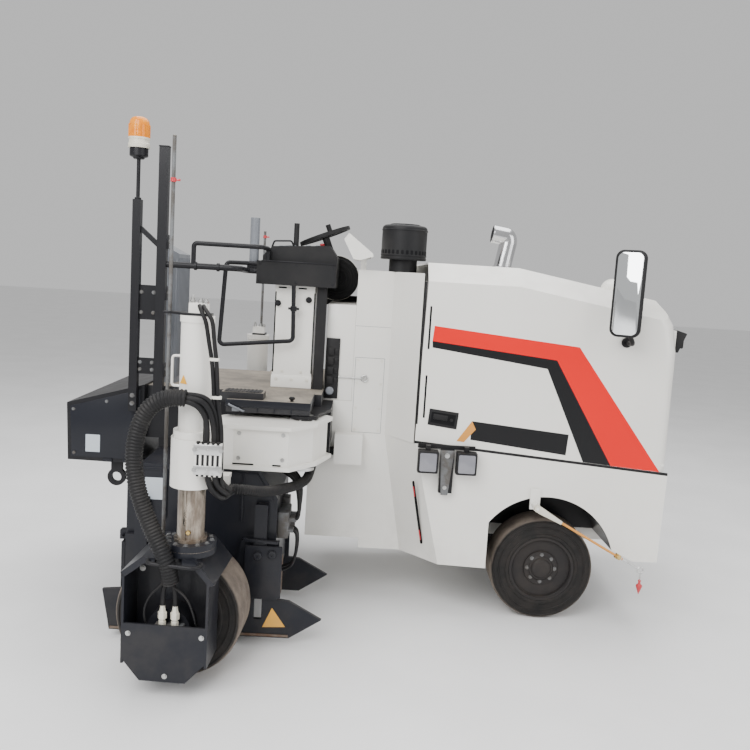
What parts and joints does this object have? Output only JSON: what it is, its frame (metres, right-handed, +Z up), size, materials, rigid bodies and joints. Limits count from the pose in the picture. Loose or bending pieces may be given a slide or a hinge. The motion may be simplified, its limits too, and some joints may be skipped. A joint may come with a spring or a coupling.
{
  "type": "cold planer milling machine",
  "caption": "Compact wheeled road milling machine with a swing-out rear leg, lifting columns, milling drum, tilting hood, console, beacon and guide pointer.",
  "frame": {"origin": "on the ground, under the middle of the machine's overall box, right rear leg swung out", "axes": "+X forward (drive direction), +Y to the machine's left, +Z up"},
  "size_m": [3.167, 2.3068, 2.49],
  "materials": {
    "white_paint": "semi-gloss",
    "dark_paint": "semi-gloss",
    "grey_paint": "satin",
    "rim_paint": "satin",
    "frame_black": "satin",
    "black_plastic": "matte",
    "white_plastic": "matte",
    "amber_plastic": "gloss",
    "tyre_rubber": "matte",
    "hose_rubber": "matte",
    "greased_steel": "satin",
    "steel": "brushed",
    "worn_steel": "rough",
    "chrome": "polished",
    "engine_grey": "rough",
    "orange_paint": "semi-gloss"
  },
  "bodies": {
    "machine": {"chassis": "white_paint", "tank_housing": "white_paint", "engine": "engine_grey", "radiator": "frame_black", "front_axle": "frame_black", "rear_frame": "frame_black", "deck": "dark_paint", "console_tower": "white_paint", "console_box": "black_plastic", "dash_shield": "white_paint", "rear_box": "frame_black", "rear_posts": "frame_black", "deck_rails": "frame_black", "rear_case": "grey_paint", "beacon": "amber_plastic", "work_lamps": "black_plastic", "drum_housing": "dark_paint", "left_sleeve": "white_paint", "pivot_pin": "steel", "air_intake": "black_plastic", "air_filter": "black_plastic", "feed_hose": "hose_rubber"},
    "hood": {"hood": "white_paint", "exhaust": "chrome", "mirror": "black_plastic"},
    "right_knuckle": {"front_right_knuckle": "frame_black"},
    "left_knuckle": {"front_left_knuckle": "frame_black"},
    "front_right_wheel": {"front_right_tyre": "tyre_rubber", "front_right_rim": "rim_paint"},
    "front_left_wheel": {"front_left_tyre": "tyre_rubber", "front_left_rim": "rim_paint"},
    "swing_arm": {"swing_arm": "white_paint", "right_sleeve": "white_paint", "conduit": "hose_rubber"},
    "right_leg": {"right_leg": "greased_steel"},
    "right_fork": {"right_fork": "grey_paint"},
    "right_rear_wheel": {"right_rear_tyre": "tyre_rubber", "right_rear_rim": "rim_paint"},
    "left_leg": {"left_leg": "greased_steel", "left_fork": "grey_paint"},
    "left_rear_wheel": {"left_rear_tyre": "tyre_rubber", "left_rear_rim": "rim_paint"},
    "drum": {"milling_drum": "worn_steel"},
    "right_side_plate": {"right_side_plate": "dark_paint"},
    "left_side_plate": {"left_side_plate": "dark_paint"},
    "scraper_door": {"scraper_door": "dark_paint"},
    "steering_wheel": {"steering_wheel": "black_plastic"},
    "guide_pointer": {"guide_pointer": "orange_paint"}
  },
  "joints": [
    {"name": "right_front_steer", "type": "hinge", "parent": "machine", "child": "right_knuckle", "pos_m": [0.9265, 0.0635, 0.28], "axis": [0, 0, 1], "range_deg": [-24, 24]},
    {"name": "left_front_steer", "type": "hinge", "parent": "machine", "child": "left_knuckle", "pos_m": [0.9265, 0.9435, 0.28], "axis": [0, 0, 1], "range_deg": [-24, 24]},
    {"name": "front_right_wheel_spin", "type": "hinge", "parent": "right_knuckle", "child": "front_right_wheel", "pos_m": [0.9265, 0.0135, 0.28], "axis": [0, 1, 0], "continuous": true},
    {"name": "front_left_wheel_spin", "type": "hinge", "parent": "left_knuckle", "child": "front_left_wheel", "pos_m": [0.9265, 0.9935, 0.28], "axis": [0, 1, 0], "continuous": true},
    {"name": "arm_swing", "type": "hinge", "parent": "machine", "child": "swing_arm", "pos_m": [-0.3735, -0.4465, 0.9975], "axis": [0, 0, 1], "range_deg": [0, 121]},
    {"name": "right_leg_slide", "type": "slide", "parent": "swing_arm", "child": "right_leg", "axis": [0, 0, 1], "range_m": [-0.05, 0.2], "deforming": ["conduit", "feed_hose"]},
    {"name": "right_fork_turn", "type": "hinge", "parent": "right_leg", "child": "right_fork", "pos_m": [-0.7885, -0.9865, 0.634], "axis": [0, 0, 1], "range_deg": [-121, 3]},
    {"name": "right_rear_wheel_spin", "type": "hinge", "parent": "right_fork", "child": "right_rear_wheel", "pos_m": [-0.8442, -0.78831, 0.28], "axis": [0.0523, 0.9986, 0], "continuous": true},
    {"name": "left_leg_slide", "type": "slide", "parent": "machine", "child": "left_leg", "axis": [0, 0, 1], "range_m": [-0.05, 0.2]},
    {"name": "left_rear_wheel_spin", "type": "hinge", "parent": "left_leg", "child": "left_rear_wheel", "pos_m": [-0.8395, 0.9985, 0.28], "axis": [0, 1, 0], "continuous": true},
    {"name": "drum_spin", "type": "hinge", "parent": "machine", "child": "drum", "pos_m": [-0.8285, -0.2565, 0.4], "axis": [0, 1, 0], "continuous": true},
    {"name": "right_side_plate_lift", "type": "slide", "parent": "machine", "child": "right_side_plate", "axis": [0, 0, 1], "range_m": [0, 0.15]},
    {"name": "left_side_plate_lift", "type": "slide", "parent": "machine", "child": "left_side_plate", "axis": [0, 0, 1], "range_m": [0, 0.15]},
    {"name": "scraper_swing", "type": "hinge", "parent": "machine", "child": "scraper_door", "pos_m": [-1.2085, -0.2565, 0.495], "axis": [0, 1, 0], "range_deg": [0, 75]},
    {"name": "hood_tilt", "type": "hinge", "parent": "machine", "child": "hood", "pos_m": [1.4985, 0.5035, 0.905], "axis": [0, 1, 0], "range_deg": [0, 60]},
    {"name": "steering_wheel_turn", "type": "hinge", "parent": "machine", "child": "steering_wheel", "pos_m": [-0.3505, 0.1535, 2], "axis": [-0.3746, 0, 0.9272], "continuous": true},
    {"name": "guide_pointer_fold", "type": "hinge", "parent": "machine", "child": "guide_pointer", "pos_m": [0.8425, -0.2225, 0.657], "axis": [0, 1, 0], "range_deg": [-120, 0]}
  ],
  "couplings": [
    {"joint": "left_front_steer", "follows": "right_front_steer", "ratio": 1},
    {"joint": "right_fork_turn", "follows": "arm_swing", "ratio": -0.97521}
  ]
}
